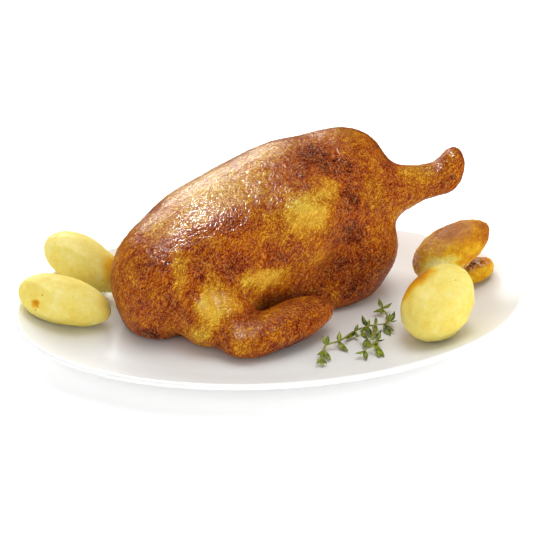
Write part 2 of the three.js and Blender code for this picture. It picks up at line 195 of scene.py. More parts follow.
def platter_tree():
    """Turns the section round a hub, then squeezes the round plate to its oval."""
    tree, given, result = new_tree("oval platter", {
        "Hub Radius": "Float", "Long Radius": "Float", "Middle Width": "Float",
        "Squeeze": "Float", "Steps Around": "Int", "Glaze": "Material"})
    hub = add(tree, "GeometryNodeCurvePrimitiveCircle", {
        "Resolution": given["Steps Around"], "Radius": given["Hub Radius"]})
    plate = add(tree, "GeometryNodeCurveToMesh", {0: hub, 1: given["Geometry"]})
    place = add(tree, "GeometryNodeInputPosition")
    flat = add(tree, "ShaderNodeVectorMath", {0: place, 1: (1, 1, 0)}, operation="MULTIPLY")
    radius = add(tree, "ShaderNodeVectorMath", {0: flat}, operation="LENGTH").outputs["Value"]
    share = add(tree, "ShaderNodeMath", {0: radius, 1: given["Long Radius"]}, operation="DIVIDE")
    width = add(tree, "ShaderNodeMath", {
        0: share, 1: given["Squeeze"], 2: given["Middle Width"]}, operation="MULTIPLY_ADD")
    scale = add(tree, "ShaderNodeCombineXYZ", {"X": 1.0, "Y": width, "Z": 1.0})
    oval = add(tree, "ShaderNodeVectorMath", {0: place, 1: scale}, operation="MULTIPLY")
    moved = add(tree, "GeometryNodeSetPosition", {"Geometry": plate, "Position": oval})
    merged = add(tree, "GeometryNodeMergeByDistance", {"Geometry": moved, "Distance": 1e-6})
    smooth = add(tree, "GeometryNodeSetShadeSmooth", {"Geometry": merged})
    real = add(tree, "GeometryNodeRealizeInstances", {"Geometry": smooth})
    glazed = add(tree, "GeometryNodeSetMaterial", {"Geometry": real, "Material": given["Glaze"]})
    fill(result, {0: glazed})
    return tree


def glazed_porcelain():
    """Clear glaze over white: soft highlights that wander, because it pooled a little."""
    material, tree, shader, in_mm = new_material("glazed porcelain")
    cloud = add(tree, "ShaderNodeTexNoise", {"Vector": in_mm, "Scale": 1 / 60})
    tone = add(tree, "ShaderNodeMix", {
        0: cloud, 6: linear("f0f1ef"), 7: linear("f6f7f5")}, data_type="RGBA")
    pool = add(tree, "ShaderNodeTexNoise", {"Vector": in_mm, "Scale": 1 / 14, "Detail": 1.0})
    wave = add(tree, "ShaderNodeBump", {"Height": pool, "Distance": 0.05 * MM})
    fill(shader, {
        "Base Color": tone.outputs[2], "Roughness": 0.36, "IOR": 1.5,
        "Specular IOR Level": 0.3, "Normal": wave})
    return material


hub_radius = LONG_RADIUS / 2
outline = bpy.data.curves.new("platter_section", "CURVE")
outline.dimensions = "2D"
spline = outline.splines.new("POLY")
section_points = rounded(platter_section(), 3)
spline.points.add(len(section_points) - 1)
for point, (radius, height) in zip(spline.points, section_points):
    point.co = ((radius - hub_radius) * MM, -height * MM, 0, 1)
platter = grown("oval_platter", placed("platter_section", outline), platter_tree(), {
    "Hub Radius": hub_radius * MM, "Long Radius": LONG_RADIUS * MM, "Squeeze": SQUEEZE,
    "Middle Width": 1 - 2 * SQUEEZE, "Steps Around": 200, "Glaze": glazed_porcelain()})
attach(platter, "root")
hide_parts("plate")

# Half chicken
# One side of a roasted bird, cut through the breastbone and the back, and laid on the cut
# face. Its skin is basted, shrunk tight and browned unevenly, darkest along the ridge and in
# the folds, and pale where fat ran off the shoulder and the thigh.
BIRD_TURN = 18
BIRD_RISE = 13
BIRD_MASSES = {
    "breast": dict(at=(-22.6, 18, 48), half=(67, 44, 43), rise=BIRD_RISE),
    "back": dict(at=(21, 37, 60), half=(50, 38, 42), rise=BIRD_RISE, blend=22),
    "knee": dict(at=(52, 43.5, 79), half=(25, 25, 25.5), blend=14),
    "neck end": dict(at=(-67, -2, 35), half=(26, 30, 31), blend=14),
    "cut edge": dict(at=(-1, 31.5, 22), half=(76, 44, 28), blend=14),
    "neck foot": dict(at=(-64, -4, 17), half=(22, 21, 13), blend=10),
    "tail": dict(at=(51.3, 25.5, 37), half=(30, 29, 28), blend=12),
    "tail foot": dict(at=(38, 12, 18), half=(28, 17, 14), blend=12),
    "thigh": dict(at=(21.5, 11, 62), half=(36, 24, 25), rise=10, blend=10),
    "shoulder": dict(at=(-37, -26, 25), half=(22, 20, 19), blend=9),
}
DRUMSTICK = dict(start=(51, 27.5, 66), end=(97, 31.5, 73), radii=(23, 10.5))
ANKLE = dict(at=(113.6, 32.3, 79.5), half=(8.5, 10, 14.5), rise=-12)
LEG_BLEND = 12
WING_FOLD = dict(at=(1.2, -36.6, 21), half=(34.7, 14.6, 12.1), turn=27, rise=5)
WING_ELBOW = dict(at=(-22, -44.5, 17), half=(15, 11, 8.5), turn=15)
ELBOW_BLEND = 8
WING_BLEND = dict(tip=4, elbow=12, widens_from=-2, over=22)
FOLDS = {
    "flank hollow": dict(at=(48, -1, 57), reach=15, depth=3.2),
    "over the wing": dict(at=(39, -4, 38), reach=11, depth=2.6),
    "behind the shoulder": dict(at=(-15, -24, 44), reach=10, depth=-1.6),
    "under the neck end": dict(at=(-58, -25, 11), reach=5, depth=3.5),
    "at the leg root": dict(at=(60, 10, 80), reach=17, depth=0.35, spacing=3.6, lean=0.12),
}
NECK_CREASE = dict(at=(-50, 0.5), width=4.5, depth=2.6, top=70, back=7, fade=30)
CREASE_REACH = 5
CREASE_FADE = 0.9
CUT_EDGE_ROUND = 3
GAP = 0.3
HALVINGS = 24
BIRD_LOW = (-98, -62, 6)
BIRD_HIGH = (126, 84, 109)
SKIN_STEP = 0.97
SLOPE_REACH = 0.05
LEAST_SLOPE = 0.5


def platter_top(x, y):
    """Height of the platter's upper face, by halving towards the oval ring under a point."""
    inner = np.zeros(np.broadcast(x, y).shape)
    outer = np.full_like(inner, LONG_RADIUS)
    for _ in range(HALVINGS):
        ring = (inner + outer) / 2
        outside = (x / ring) ** 2 + (y / short_radius(ring)) ** 2 > 1
        inner = np.where(outside, ring, inner)
        outer = np.where(outside, outer, ring)
    return wall_height(outer)


def turned(turn, rise):
    """Rotation about Z by turn, with the +X end risen, both in degrees."""
    t, r = math.radians(turn), math.radians(rise)
    about_z = np.array([[math.cos(t), -math.sin(t), 0], [math.sin(t), math.cos(t), 0], [0, 0, 1]])
    about_y = np.array([[math.cos(r), 0, -math.sin(r)], [0, 1, 0], [math.sin(r), 0, math.cos(r)]])
    return about_z @ about_y


def ellipsoid(x, y, z, at, half, turn=0, rise=0, blend=0):
    """Distance to an ellipsoid, negative inside. The blend is for whoever joins it."""
    offsets = (x - at[0], y - at[1], z - at[2])
    rows = turned(turn, rise).T
    u, v, w = (sum(c * o for c, o in zip(row, offsets)) / h for row, h in zip(rows, half))
    radius = np.sqrt(u * u + v * v + w * w)
    slope = np.sqrt((u / half[0]) ** 2 + (v / half[1]) ** 2 + (w / half[2]) ** 2)
    return radius * (radius - 1) / np.maximum(slope, 1e-6)


def tapered_rod(x, y, z, start, end, radii):
    """Distance to a rod with round ends that goes from one radius to another."""
    along = np.subtract(end, start)
    u, v, w = x - start[0], y - start[1], z - start[2]
    share = np.clip((u * along[0] + v * along[1] + w * along[2]) / (along @ along), 0, 1)
    u, v, w = u - share * along[0], v - share * along[1], w - share * along[2]
    return np.sqrt(u * u + v * v + w * w) - radii[0] - (radii[1] - radii[0]) * share


def blended(a, b, width):
    """Joins two distances with a fillet of the given width."""
    share = np.clip(0.5 + 0.5 * (b - a) / width, 0, 1)
    return b + (a - b) * share - width * share * (1 - share)


def bird_and_wing(x, y, z):
    """Distances to the bird without its wing, and to the wing."""
    masses = iter(BIRD_MASSES.values())
    skin = ellipsoid(x, y, z, turn=BIRD_TURN, **next(masses))
    for mass in masses:
        skin = blended(skin, ellipsoid(x, y, z, turn=BIRD_TURN, **mass), mass["blend"])
    ankle = ellipsoid(x, y, z, **ANKLE)
    skin = blended(skin, blended(tapered_rod(x, y, z, **DRUMSTICK), ankle, LEG_BLEND), LEG_BLEND)
    for fold in FOLDS.values():
        a, b, c = fold["at"]
        near = np.exp(-((x - a) ** 2 + (y - b) ** 2 + (z - c) ** 2) / fold["reach"] ** 2)
        if "spacing" in fold:
            near = near * np.cos(2 * math.pi * (x + fold["lean"] * z) / fold["spacing"])
        skin = skin + fold["depth"] * near
    t = math.radians(BIRD_TURN)
    a, b = NECK_CREASE["at"]
    across = ((x - a) * math.cos(t) + (y - b) * math.sin(t)) / NECK_CREASE["width"]
    low = np.clip((NECK_CREASE["top"] - z) / NECK_CREASE["fade"], 0, 1)
    front = np.clip((NECK_CREASE["back"] - y) / NECK_CREASE["fade"], 0, 1)
    skin = skin + NECK_CREASE["depth"] * np.exp(-across ** 2) * low * front
    fold, elbow = ellipsoid(x, y, z, **WING_FOLD), ellipsoid(x, y, z, **WING_ELBOW)
    return skin, blended(fold, elbow, ELBOW_BLEND)


def towards_elbow(x):
    """How far along the folded wing a point is, from 0 at its middle to 1 at its elbow."""
    return np.clip((WING_BLEND["widens_from"] - x) / WING_BLEND["over"], 0, 1)


def skin_distance(x, y, z, top):
    """Distance to the whole bird's skin, cut off just above the platter's upper face."""
    bird, wing = bird_and_wing(x, y, z)
    seam = WING_BLEND["tip"] + (WING_BLEND["elbow"] - WING_BLEND["tip"]) * towards_elbow(x)
    return -blended(-blended(bird, wing, seam), z - top - GAP, CUT_EDGE_ROUND)


def wrapped(value, low, step):
    """Corners and quads of the skin where a grid of distances changes sign. A cell that the
    skin passes through gives one corner, at the mean of the crossings on its edges."""
    inside = value < 0
    cells = tuple(n - 1 for n in value.shape)
    mixed = np.zeros(cells, np.int8)
    for dx, dy, dz in np.ndindex(2, 2, 2):
        mixed += inside[dx:dx + cells[0], dy:dy + cells[1], dz:dz + cells[2]]
    crossed = np.argwhere((mixed > 0) & (mixed < 8))
    number = np.full(cells, -1, np.int32)
    number[tuple(crossed.T)] = np.arange(len(crossed))
    total = np.zeros((len(crossed), 3))
    found = np.zeros(len(crossed))
    for axis in range(3):
        for side in np.ndindex(2, 2):
            start = np.insert(side, axis, 0)
            a = value[tuple((crossed + start).T)]
            b = value[tuple((crossed + start + np.eye(3, dtype=int)[axis]).T)]
            cut = (a < 0) != (b < 0)
            share = np.where(cut, a / np.where(cut, a - b, 1), 0)
            spot = start + share[:, None] * np.eye(3)[axis]
            total += np.where(cut[:, None], spot, 0)
            found += cut
    corners = np.array(low) + (crossed + total / found[:, None]) * step
    quads = []
    for axis in range(3):
        u, v = np.eye(3, dtype=int)[(axis + 1) % 3], np.eye(3, dtype=int)[(axis + 2) % 3]
        ahead = np.take(inside, range(1, value.shape[axis]), axis)
        here = np.take(inside, range(value.shape[axis] - 1), axis)
        edges = np.argwhere(ahead != here)
        leaving = here[tuple(edges.T)]
        ring = [number[tuple((edges - s).T)] for s in (u + v, v, 0 * u, u)]
        quads.append(np.stack(ring, 1)[leaving])
        quads.append(np.stack(ring[::-1], 1)[~leaving])
    return corners, np.concatenate(quads)


def bird_mesh():
    """The bird's closed skin in millimetres, with how near each corner is to the fold between
    the wing and the body, which fades out at the elbow. The skin is painted darker there, both
    for browning and as painted shade."""
    axes = [np.arange(a, b, SKIN_STEP) for a, b in zip(BIRD_LOW, BIRD_HIGH)]
    x, y, z = np.ix_(*axes)
    grid = skin_distance(x, y, z, platter_top(x, y))
    corners, quads = wrapped(grid, BIRD_LOW, SKIN_STEP)
    for _ in range(2):
        x, y, z = corners.T
        top = platter_top(x, y)
        here = skin_distance(x, y, z, top)
        beside = [skin_distance(*(corners + step).T, top) for step in SLOPE_REACH * np.eye(3)]
        slope = (np.stack(beside, 1) - here[:, None]) / SLOPE_REACH
        steepness = np.maximum((slope ** 2).sum(1), LEAST_SLOPE ** 2)
        corners = corners - slope * (here / steepness)[:, None]
    bird, wing = bird_and_wing(*corners.T)
    dark = 1 - CREASE_FADE * towards_elbow(corners[:, 0])
    return corners, quads.tolist(), dark * np.exp(-((bird - wing) / CREASE_REACH) ** 2)


def mesh_object(name, corners, faces, **values):
    """A new object from corners in millimetres, with a number on each for every value given."""
    mesh = bpy.data.meshes.new(name)
    mesh.from_pydata((np.asarray(corners) * MM).tolist(), [], faces)
    mesh.validate()
    for label, numbers in values.items():
        mesh.attributes.new(label, "FLOAT", "POINT").data.foreach_set("value", numbers)
    return placed(name, mesh)


def relief_tree():
    """Moves a surface in and out by worm-like wrinkles and broader dimples, both from noise."""
    tree, given, result = new_tree("food relief", {
        "Wrinkle Spacing": "Float", "Wrinkle Depth": "Float", "Dimple Spacing": "Float",
        "Dimple Depth": "Float", "Set In": "Float", "Seed": "Float", "Surface": "Material"})
    place = add(tree, "GeometryNodeInputPosition")
    height = 0.0
    for label, gain, shift in (("Wrinkle", 4.0, -0.35), ("Dimple", 2.0, 0.0)):
        often = add(tree, "ShaderNodeMath", {
            0: 1.0, 1: given[label + " Spacing"]}, operation="DIVIDE")
        noise = add(tree, "ShaderNodeTexNoise", {
            "Vector": place, "W": given["Seed"], "Scale": often, "Detail": 1.0,
            "Distortion": 0.4}, noise_dimensions="4D")
        swing = add(tree, "ShaderNodeMath", {0: noise, 1: 0.5}, operation="SUBTRACT")
        if label == "Wrinkle":
            swing = add(tree, "ShaderNodeMath", {0: swing}, operation="ABSOLUTE")
        swing = add(tree, "ShaderNodeMath", {0: swing, 1: gain, 2: shift},
                    operation="MULTIPLY_ADD")
        height = add(tree, "ShaderNodeMath", {
            0: swing, 1: given[label + " Depth"], 2: height}, operation="MULTIPLY_ADD")
    normal = add(tree, "GeometryNodeInputNormal")
    lowered = add(tree, "ShaderNodeMath", {0: height, 1: given["Set In"]}, operation="SUBTRACT")
    push = add(tree, "ShaderNodeVectorMath", {0: normal, "Scale": lowered}, operation="SCALE")
    kept = add(tree, "GeometryNodeStoreNamedAttribute", {
        "Geometry": given["Geometry"], "Name": "relief", "Value": height},
        data_type="FLOAT", domain="POINT")
    moved = add(tree, "GeometryNodeSetPosition", {"Geometry": kept, "Offset": push})
    smooth = add(tree, "GeometryNodeSetShadeSmooth", {"Geometry": moved})
    real = add(tree, "GeometryNodeRealizeInstances", {"Geometry": smooth})
    dressed = add(tree, "GeometryNodeSetMaterial", {
        "Geometry": real, "Material": given["Surface"]})
    fill(result, {0: dressed})
    return tree


# Where the oven and the basting left their marks: the middle of each patch and its half
# sizes, its level of browning from 0, pale, to 1, nearly black, and how surely it is so.
# Some patches, marked below, are painted shade or painted glare over the browning, and
# the patches in the creases are painted shade over browning, with sharper edges. The level
# of a dry place is how wet it still is.
Patch = namedtuple("Patch", "at half level sure turn", defaults=(0.8, 0))
BROWNING = {
    "ridge of the back": Patch((24, 14, 96), (36, 17, 10), 0.76, 0.9, turn=24),
    "top of the thigh": Patch((45, 18, 96), (19, 15, 11), 0.72, 0.9, turn=18),
    # Painted shade over browning: the hollow before the knee and in the flank is darker than its
    # browning alone.
    "before the knee": Patch((48, 4, 78), (9, 13, 24), 0.92, 0.85),
    "flank": Patch((47, 0, 60), (20, 17, 21), 0.84),
    "flank hollow": Patch((49, 0, 55), (10, 10, 8), 0.94, 0.7),
    # Painted shade over browning: a dark spot in the groove above the wing tip.
    "above the wing tip": Patch((40, -2, 37), (14, 10, 8), 0.84, 0.75),
    # Painted glare over the skin's gold: the top of the breast and the back is paler where the
    # glare and the highlight fall.
    "back of the breast": Patch((-34, 16, 86), (56, 33, 18), 0.1, 0.9, turn=18),
    "top of the back": Patch((0, 33, 99), (28, 18, 10), 0.16, 0.85, turn=18),
    "shine on the breast": Patch((-46, -7, 80), (14, 9, 6), 0.2, 0.85),
    "side of the breast": Patch((-27, -25, 58), (21, 13, 10), 0.64, turn=12),
    "middle of the side": Patch((0, -20, 58), (18, 12, 9), 0.68, 0.7, turn=12),
    # Painted shade over browning: a dark band that sets off the highlight's lower edge.
    "under the shine": Patch((-28, -15, 75), (17, 11, 7), 0.74, 0.9, turn=10),
    "gold on the breast": Patch((-9, -18, 70), (18, 9, 5), 0.4, turn=12),
    "edge of the collar": Patch((-47, -29, 52), (5, 7, 9), 0.64),
    "foot of the collar": Patch((-51, -33, 40), (6, 8, 9), 0.54),
    "collar": Patch((-58, -25, 55), (6, 13, 22), 0.18),
    "neck end": Patch((-74, -26, 38), (14, 16, 24), 0.58, 0.75),
    "neck end, brown": Patch((-70, -31, 44), (7, 8, 14), 0.38, 0.7),
    "neck end, red": Patch((-77, -18, 61), (8, 10, 8), 0.48),
    "neck end, foot": Patch((-78, -25, 17), (9, 9, 7), 1.05, 0.9),
    "breast end": Patch((-64, -4, 73), (16, 15, 12), 0.16, 0.75),
    "knee": Patch((60, 27, 98), (13, 12, 10), 0.52),
    "knee, right": Patch((69, 33, 94), (7, 8, 9), 0.56, 0.7),
    "leg root": Patch((62, 10, 80), (10, 12, 17), 0.33, 0.85),
    "leg root, top": Patch((76, 26, 87), (10, 9, 6), 0.82, 0.9),
    "drumstick": Patch((92, 28, 80), (20, 13, 9), 0.22, 0.85),
    "drumstick, under": Patch((88, 20, 70), (26, 12, 6), 0.48),
    "ankle": Patch((113, 28, 82), (10, 14, 14), 0.44),
    "tail": Patch((68, 9, 56), (10, 12, 13), 0.51),
    "tail, low": Patch((58, 0, 38), (18, 14, 14), 0.62),
    "wing": Patch((4, -44, 28), (38, 18, 15), 0.54, 0.9, turn=23),
    "wing, spotted": Patch((-10, -51, 34), (11, 8, 7), 0.54, turn=23),
    "wing, under": Patch((2, -52, 13), (40, 12, 6.5), 0.9, turn=23),
    "thigh, basted": Patch((19, -9, 78), (20, 16, 17), 0.0, 1.0),
    "thigh, up": Patch((33, 2, 87), (11, 10, 11), 0.12, 0.85),
    "thigh, left": Patch((1, -11, 78), (17, 10, 7), 0.22),
    "shoulder, basted": Patch((-41, -37, 37), (17, 15, 15), -0.04, 1.0),
    "shoulder, foot": Patch((-46, -42, 22), (15, 11, 9), 0.06, 0.85),
    "behind the shoulder": Patch((-8, -25, 45), (19, 10, 9), 0.02, 0.95, turn=12),
    "beside the shoulder": Patch((-50, -32, 43), (4, 6, 8), 0.7, 0.9),
    "tail, under": Patch((46, -5, 23), (16, 10, 8), 0.74, 0.9, turn=18),
    # Painted shade over browning, in the fold above the wing.
    "above the wing": Patch((29, -28, 37), (18, 8, 7), 0.95, 0.95, turn=20),
    "wing, left": Patch((-26, -53, 27), (9, 8, 7), 0.2),
}
CREASE_SHADE_AND_BROWNING = {
    # Painted shade along the collar's fold and under it, over some browning.
    "fold of the collar": Patch((-64, -20, 58), (3.5, 15, 25), 0.86, 0.7),
    "under the collar": Patch((-53, -34, 33), (3, 8, 14), 0.74, 0.6),
}
DRY = {
    "end of the breast": Patch((-69, -9, 69), (17, 15, 20), 0.04, 1),
    "drumstick": Patch((94, 34, 86), (32, 18, 16), 0.14, 1),
}
PATCH_EDGE = (1.2, 0.3)
GRAIN_LEAN = 37
GLINT_LEAN = -25
HOLLOW_SHADE_PER_MM = -0.2


def patched(tree, place, amount, patches):
    """Draws an amount towards each patch's own level. Warped places give ragged edges."""
    for patch in patches.values():
        unit = add(tree, "ShaderNodeMapping", {
            "Vector": place, "Location": patch.at, "Rotation": (0, 0, math.radians(patch.turn)),
            "Scale": patch.half}, vector_type="TEXTURE")
        away = add(tree, "ShaderNodeVectorMath", {0: unit}, operation="LENGTH")
        near = add(tree, "ShaderNodeMapRange", {
            "Value": away.outputs["Value"], "From Min": PATCH_EDGE[0], "From Max": PATCH_EDGE[1],
            "To Max": patch.sure}, interpolation_type="SMOOTHSTEP")
        amount = add(tree, "ShaderNodeMix", {0: near, 2: amount, 3: patch.level})
    return amount


def clouded(tree, place, size, tones, values=(0.0, 1.0), **finer):
    """Soft clouds of the given size in mm. The noise's tones are spread between two values."""
    noise = add(tree, "ShaderNodeTexNoise", {"Vector": place, "Scale": 1 / size, **finer})
    return add(tree, "ShaderNodeMapRange", {
        "Value": noise, "From Min": tones[0], "From Max": tones[1],
        "To Min": values[0], "To Max": values[1]})


def swung(tree, amount, noise, width=0.0, share=0.0):
    """Swings an amount as the noise goes, over the given width and a share of the amount."""
    swing = add(tree, "ShaderNodeMath", {0: noise, 1: 0.5}, operation="SUBTRACT")
    reach = add(tree, "ShaderNodeMath", {0: amount, 1: share, 2: width}, operation="MULTIPLY_ADD")
    return add(tree, "ShaderNodeMath", {0: swing, 1: reach, 2: amount}, operation="MULTIPLY_ADD")


def warped(tree, place, size, reach):
    """Coordinates pushed about by noise, for edges as ragged as browning."""
    noise = add(tree, "ShaderNodeTexNoise", {"Vector": place, "Scale": 1 / size, "Detail": 3.0})
    centred = add(tree, "ShaderNodeVectorMath", {
        0: noise.outputs["Color"], 1: (0.5, 0.5, 0.5)}, operation="SUBTRACT")
    return add(tree, "ShaderNodeVectorMath", {
        0: centred, 1: (reach, reach, reach), 2: place}, operation="MULTIPLY_ADD")


def drawn_out(tree, place, lean, stretch):
    """Coordinates that draw a pattern out along an upright that leans by so many degrees."""
    return add(tree, "ShaderNodeMapping", {
        "Vector": place, "Rotation": (0, math.radians(lean), 0), "Scale": (1, 1, stretch)},
        vector_type="TEXTURE")


def wrinkled(tree, place, size):
    """Worm-like wrinkles of the given size in mm: 0 in their grooves and 1 on their crests."""
    noise = add(tree, "ShaderNodeTexNoise", {
        "Vector": place, "Scale": 1 / size, "Distortion": 0.5})
    fold = add(tree, "ShaderNodeMath", {0: noise, 1: 0.5}, operation="SUBTRACT")
    fold = add(tree, "ShaderNodeMath", {0: fold}, operation="ABSOLUTE")
    return add(tree, "ShaderNodeMapRange", {"Value": fold, "From Max": 0.14})


def tinted(tree, colour, amount, first, last):
    """Multiplies a colour by another that goes from the first to the last."""
    tint = add(tree, "ShaderNodeMix", {
        0: amount, 6: linear(first), 7: linear(last)}, data_type="RGBA").outputs[2]
    return add(tree, "ShaderNodeVectorMath", {0: colour, 1: tint}, operation="MULTIPLY")


def roast_chicken_skin():
    """Roasted skin under its own dripping: blotches from gold to dark brown over a fine wrinkled
    grain, whose tiny slopes each catch the light as a separate glint. Painted shade darkens its
    hollows, creases and the grooves of its grain, painted glare pales its top, and thin pale
    streaks are painted glints. The real grain, of about half a millimetre, is too fine to show,
    so it is drawn at 1.1 mm."""
    material, tree, shader, in_mm = new_material("roast chicken skin")
    ragged = warped(tree, warped(tree, in_mm, 13, 14), 4, 7)
    brown = clouded(tree, ragged, 34, (0.36, 0.64), (0.32, 0.6))
    brown = patched(tree, ragged, brown, BROWNING)
    broken = add(tree, "ShaderNodeTexNoise", {
        "Vector": in_mm, "Scale": 1 / 15, "Detail": 5.0, "Roughness": 0.58})
    brown = swung(tree, brown, broken, share=2.0)
    swirl = warped(tree, in_mm, 9, 6)
    brown = patched(tree, swirl, brown, CREASE_SHADE_AND_BROWNING)
    uneven = add(tree, "ShaderNodeTexNoise", {
        "Vector": drawn_out(tree, swirl, GRAIN_LEAN, 2), "Scale": 1 / 3.2, "Detail": 3.0,
        "Roughness": 0.55})
    brown = swung(tree, brown, uneven, 0.36, share=0.9)
    marks = wrinkled(tree, drawn_out(tree, swirl, GRAIN_LEAN, 3), 1.1)
    # Painted shade: the grain's grooves are browned darker and its crests paler.
    brown = swung(tree, brown, marks, -0.06, share=-0.5)
    # Painted shade over browning along the fold between the wing and the body.
    crease = add(tree, "ShaderNodeAttribute", attribute_name="crease").outputs["Fac"]
    brown = add(tree, "ShaderNodeMath", {0: crease, 1: 0.5, 2: brown}, operation="MULTIPLY_ADD")
    # Painted shade: dips in the relief are browned darker and its rises paler.
    relief = add(tree, "ShaderNodeAttribute", attribute_name="relief").outputs["Fac"]
    brown = add(tree, "ShaderNodeMath", {
        0: relief, 1: HOLLOW_SHADE_PER_MM / MM, 2: brown}, operation="MULTIPLY_ADD")
    colour = add(tree, "ShaderNodeValToRGB", {0: brown}, stops=[
        (0.0, "e6c84a"), (0.14, "dcad2d"), (0.32, "c58011"), (0.46, "b5630b"),
        (0.6, "a54b0a"), (0.74, "913909"), (0.88, "782a09"), (1.0, "561d0a")])
    drift = clouded(tree, in_mm, 15, (0.38, 0.62))
    colour = tinted(tree, colour, drift, "ffe8d0", "ffffff")
    # Painted shade in the grain's grooves, less of it on pale skin.
    less_groove_shade = add(tree, "ShaderNodeMapRange", {
        "Value": brown, "From Max": 0.42, "To Min": 0.55, "To Max": 0.0})
    grooves = add(tree, "ShaderNodeMath", {0: marks, 1: less_groove_shade}, operation="MAXIMUM")
    colour = tinted(tree, colour, grooves, "b68b60", "ffffff")
    # Painted glints: thin pale streaks mixed into the colour, stronger on browner skin.
    glint_lines = wrinkled(tree, drawn_out(tree, warped(tree, in_mm, 5, 4), GLINT_LEAN, 2.5), 1.7)
    glint_thread = add(tree, "ShaderNodeMapRange", {"Value": glint_lines, "From Min": 0.13, "From Max": 0.0})
    glint_strength = add(tree, "ShaderNodeMapRange", {
        "Value": brown, "From Min": 0.2, "From Max": 0.7, "To Min": 0.12, "To Max": 0.55})
    painted_glints = add(tree, "ShaderNodeMath", {0: glint_thread, 1: glint_strength}, operation="MULTIPLY")
    colour = add(tree, "ShaderNodeMix", {
        0: painted_glints, 6: colour, 7: linear("f2bb74")}, data_type="RGBA").outputs[2]
    height = add(tree, "ShaderNodeSeparateXYZ", {0: in_mm}).outputs["Z"]
    upper = add(tree, "ShaderNodeMapRange", {
        "Value": height, "From Min": 45, "From Max": 70, "To Min": 0.15})
    crests = add(tree, "ShaderNodeMapRange", {
        "Value": marks, "From Min": 0.1, "From Max": 0.9, "To Min": 0.35})
    wet = add(tree, "ShaderNodeMath", {0: upper, 1: crests}, operation="MULTIPLY")
    grain = add(tree, "ShaderNodeTexNoise", {
        "Vector": drawn_out(tree, swirl, GRAIN_LEAN, 2.5), "Scale": 1 / 1.1})
    fine = add(tree, "ShaderNodeBump", {"Height": grain, "Distance": 0.5 * MM})
    fill(shader, {
        "Base Color": colour, "Specular IOR Level": 0.08,
        "Roughness": clouded(tree, in_mm, 11, (0.35, 0.65), (0.28, 0.44)),
        "Coat Weight": patched(tree, in_mm, wet, DRY), "Coat Roughness": 0.12, "Coat IOR": 1.5,
        "Subsurface Weight": 0.06, "Subsurface Radius": (1.6, 0.6, 0.3),
        "Subsurface Scale": MM, "Normal": fine, "Coat Normal": fine})
    return material


corners, quads, crease = bird_mesh()
bare_bird = mesh_object("bare_bird", corners, quads, crease=crease)
relief = relief_tree()
bird = grown("half_chicken_skin", bare_bird, relief, {
    "Wrinkle Spacing": 3.4 * MM, "Wrinkle Depth": 0.3 * MM, "Dimple Spacing": 13 * MM,
    "Dimple Depth": 0.5 * MM, "Set In": 0.4 * MM, "Seed": 3.0,
    "Surface": roast_chicken_skin()})
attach(bird, "root")
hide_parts("half_chicken")

# Potatoes
# Small waxy potatoes, peeled with a knife and boiled whole, so their flanks are faintly flat
# and have a soft sheen. Two of those on the right were turned in the roasting fat as well.
POTATOES = {
    "left_front": dict(at=(-120.5, 8), half=(28, 15.5, 14.5), turn=-19, rise=-13, widen=-0.1),
    "left_back": dict(at=(-105, 46.5), half=(29, 15.5, 14.5), turn=-37, rise=-18, widen=-0.12),
    "right_under": dict(at=(126.5, 16.5), half=(14, 11, 6.5), turn=20, rise=16, widen=0),
    "right_back": dict(at=(113, 19), half=(27, 16, 14.5), turn=-12, rise=36, widen=-0.14),
    "right_front": dict(at=(91, -38.5), half=(27.5, 20, 18.5), turn=50, rise=18, widen=-0.1),
}
TURNED_IN_FAT = ("right_under", "right_back")
LUMP_DEPTH = 0.02
LUMP_WAVES = ((3, 2, 0), (-2, 0, 4))
PEEL_CUTS = 11
PEEL_DEPTH = 0.026
PEEL_SWAY = dict(turn=0.35, wave=2.5)
POTATO_CLEAR = 1
POTATO_SWELL = 1.03
REST_ROUND = 0.6
LIFT_STEP = 0.05


def ball_mesh(fineness):
    """Corners and faces of a ball of radius 1 with even triangles."""
    shape = bmesh.new()
    bmesh.ops.create_icosphere(shape, subdivisions=fineness, radius=1)
    corners = np.array([v.co[:] for v in shape.verts])
    faces = [[v.index for v in face.verts] for face in shape.faces]
    shape.free()
    return corners, faces


def potato_corners(ball, name, laid):
    """A potato's corners in millimetres, let down to where its solid lies."""
    potato = POTATOES[name]
    x, y, z = ball.T
    at, half = potato["at"], potato["half"]
    lumps = sum(np.sin(ball @ wave + start) for wave, start in zip(LUMP_WAVES, at))
    girth = (1 + potato["widen"] * x) * (1 + LUMP_DEPTH * lumps)
    around = np.arctan2(z, y) + PEEL_SWAY["turn"] * np.sin(PEEL_SWAY["wave"] * x + at[0])
    girth = girth * (1 - PEEL_DEPTH * np.abs(np.cos(around * PEEL_CUTS / 2)))
    shape = np.stack([x * half[0], y * half[1] * girth, z * half[2] * girth], 1)
    shape = shape @ turned(potato["turn"], potato["rise"]).T
    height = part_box("potato_" + name)[1].z / MM - shape[:, 2].max()
    shape += (*at, height)
    floor = platter_top(shape[:, 0], shape[:, 1]) + GAP
    shape[:, 2] = -blended(-shape[:, 2], -floor, REST_ROUND)
    for other in laid:
        while True:
            low = ellipsoid(*shape.T, **other) < POTATO_CLEAR
            if not low.any():
                break
            shape[low, 2] += LIFT_STEP
    half = [size * POTATO_SWELL for size in half]
    laid.append(dict(at=(*at, height), half=half, turn=potato["turn"], rise=potato["rise"]))
    return shape


